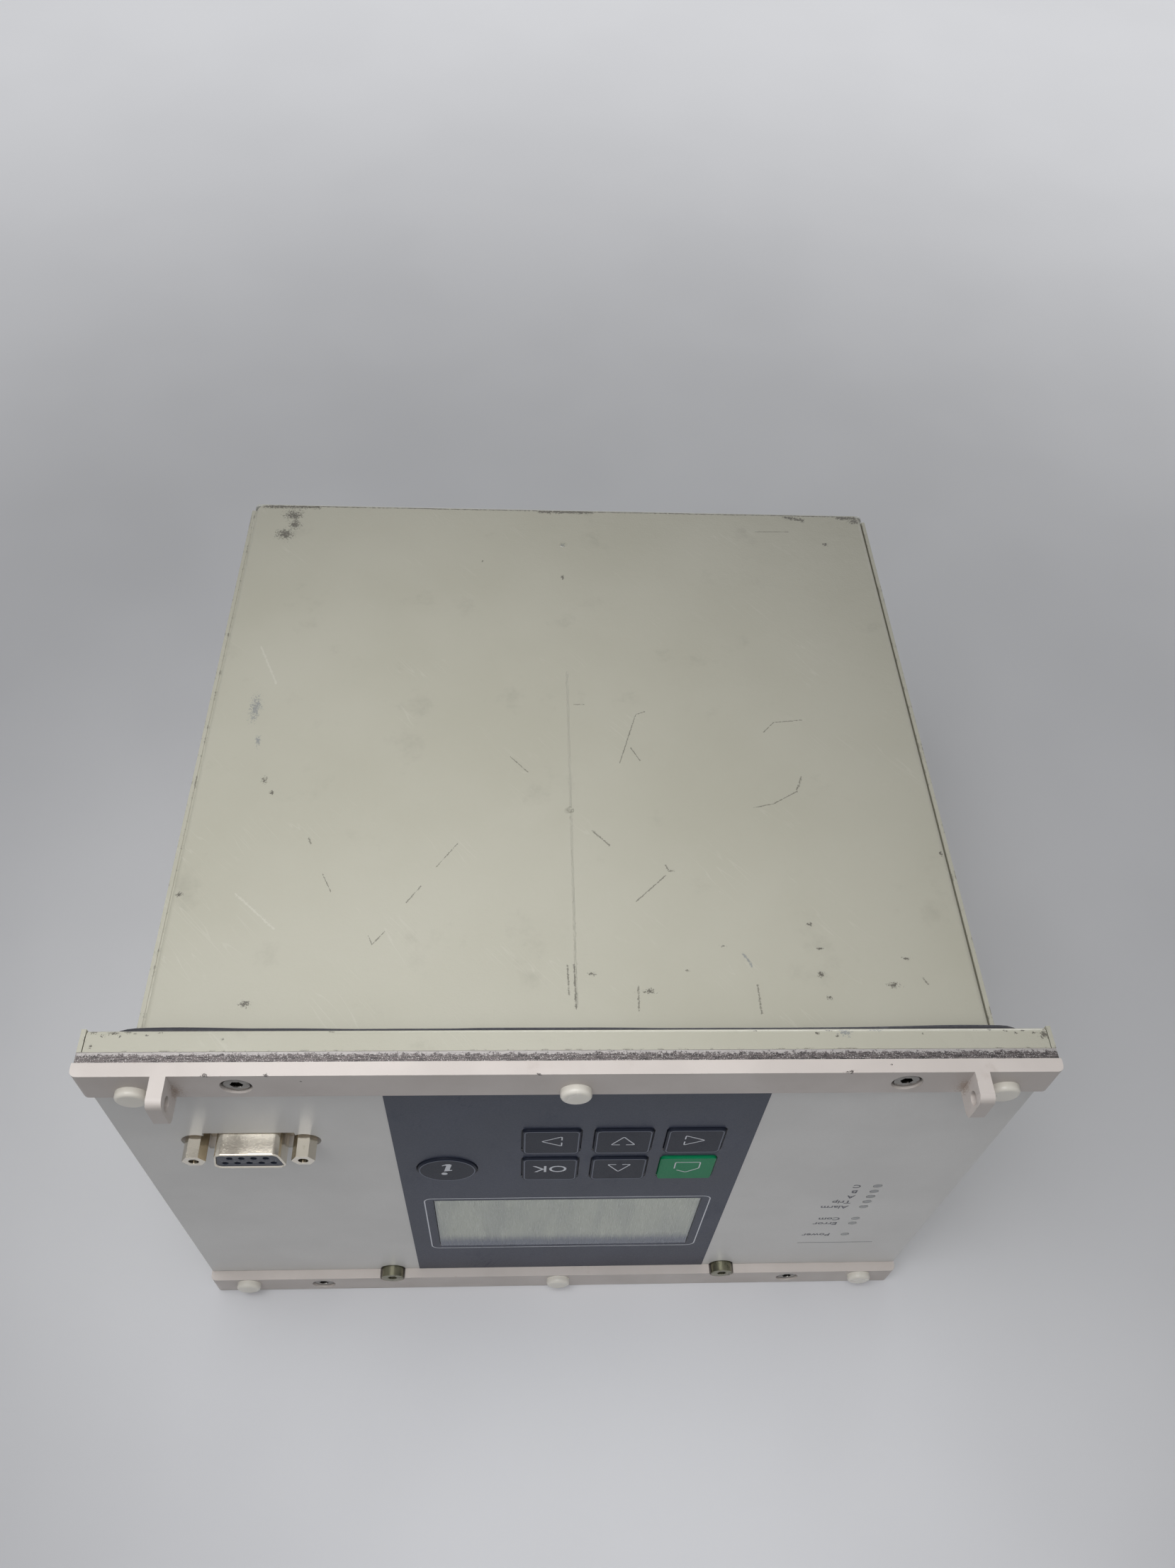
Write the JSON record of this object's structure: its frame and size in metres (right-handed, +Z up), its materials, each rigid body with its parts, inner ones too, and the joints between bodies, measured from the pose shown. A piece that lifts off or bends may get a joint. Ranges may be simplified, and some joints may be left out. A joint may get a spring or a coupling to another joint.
{
  "type": "protection relay",
  "caption": "Flush-mounting protection relay: folded steel case with a flanged front, display, sprung keys, status lamps, serial port, sealing lugs and rear screw terminals.",
  "frame": {"origin": "middle of the panel cut-out, on the panel face that the gasket seals against", "axes": "+X across the front to the lamp side, +Y from the front to the terminals, +Z up as it lies; it lies with its service top downwards, so it is turned half a turn about Y to be mounted"},
  "size_m": [0.208, 0.225, 0.155],
  "materials": {
    "case_paint": "satin pebble-grey paint, scuffed at the edges",
    "back_paint": "satin light-grey paint",
    "steel": "zinc plated",
    "dark_steel": "plain steel, dulled",
    "brass": "plain",
    "gasket_rubber": "matt",
    "plate_aluminium": "bare edges, scuffed",
    "film_pale": "fine satin film",
    "film_dark": "fine satin film, embossed keys",
    "key_green": "fine satin film, embossed key",
    "rail_plastic": "off-white moulded plastic",
    "buffer_plastic": "off-white soft plastic",
    "display_clear": "clear pane",
    "display_grey": "grey-green display face",
    "light_white": "white light guide",
    "board_green": "lacquered circuit board",
    "part_black": "black moulded plastic",
    "lamp_lens": "unlit diffuse lens",
    "port_nickel": "nickel plated",
    "winding_lacquer": "lacquered winding",
    "relay_white": "sealed plastic case",
    "capacitor_sleeve": "plastic sleeve",
    "plug_green": "green moulded plastic"
  },
  "bodies": {
    "relay": {"case_wrapper": "case_paint", "case_cover": "case_paint", "back_plate": "back_paint", "back_screws": "steel", "earth_stud": "steel", "board_spacers": "steel", "board_screws": "steel", "backplane_posts": "steel", "nut_blocks": "steel", "notch_screws": "steel", "display_bezel": "steel", "current_screws": "steel", "plug_screws": "steel", "rail_screws": "dark_steel", "earth_nut": "brass", "port_contacts": "brass", "panel_gasket": "gasket_rubber", "front_plate": "plate_aluminium", "front_film": "film_pale", "keypad_field": "film_dark", "lug_rail": "rail_plastic", "notch_rail": "rail_plastic", "rail_buffers": "buffer_plastic", "display_window": "display_clear", "display_glass": "display_grey", "display_backlight": "light_white", "display_board": "board_green", "backplane_board": "board_green", "input_card": "board_green", "relay_card_a": "board_green", "relay_card_b": "board_green", "power_card": "board_green", "cpu_card": "board_green", "key_switches": "part_black", "stacking_header": "part_black", "card_connectors": "part_black", "card_guides": "part_black", "processor_chips": "part_black", "port_core": "part_black", "remote_port_core": "part_black", "current_block": "part_black", "status_lamps": "lamp_lens", "port_shell": "port_nickel", "port_screws": "port_nickel", "remote_port_shell": "port_nickel", "remote_port_screws": "port_nickel", "current_transformers": "winding_lacquer", "supply_transformer": "winding_lacquer", "output_relays": "relay_white", "supply_capacitors": "capacitor_sleeve", "plug_sockets": "plug_green", "terminal_plugs": "plug_green"},
    "key_right": {"key_right": "film_dark"},
    "key_down": {"key_down": "film_dark"},
    "key_left": {"key_left": "film_dark"},
    "key_ok": {"key_ok": "film_dark"},
    "key_up": {"key_up": "film_dark"},
    "key_cancel": {"key_cancel": "key_green"},
    "key_info": {"key_info": "film_dark"}
  },
  "joints": [
    {"name": "press_right", "type": "slide", "parent": "relay", "child": "key_right", "axis": [0, 1, 0], "range_m": [0, 0.0006], "stiffness_N_per_m": 1500},
    {"name": "press_down", "type": "slide", "parent": "relay", "child": "key_down", "axis": [0, 1, 0], "range_m": [0, 0.0006], "stiffness_N_per_m": 1500},
    {"name": "press_left", "type": "slide", "parent": "relay", "child": "key_left", "axis": [0, 1, 0], "range_m": [0, 0.0006], "stiffness_N_per_m": 1500},
    {"name": "press_ok", "type": "slide", "parent": "relay", "child": "key_ok", "axis": [0, 1, 0], "range_m": [0, 0.0006], "stiffness_N_per_m": 1500},
    {"name": "press_up", "type": "slide", "parent": "relay", "child": "key_up", "axis": [0, 1, 0], "range_m": [0, 0.0006], "stiffness_N_per_m": 1500},
    {"name": "press_cancel", "type": "slide", "parent": "relay", "child": "key_cancel", "axis": [0, 1, 0], "range_m": [0, 0.0006], "stiffness_N_per_m": 1500},
    {"name": "press_info", "type": "slide", "parent": "relay", "child": "key_info", "axis": [0, 1, 0], "range_m": [0, 0.0006], "stiffness_N_per_m": 1500}
  ]
}
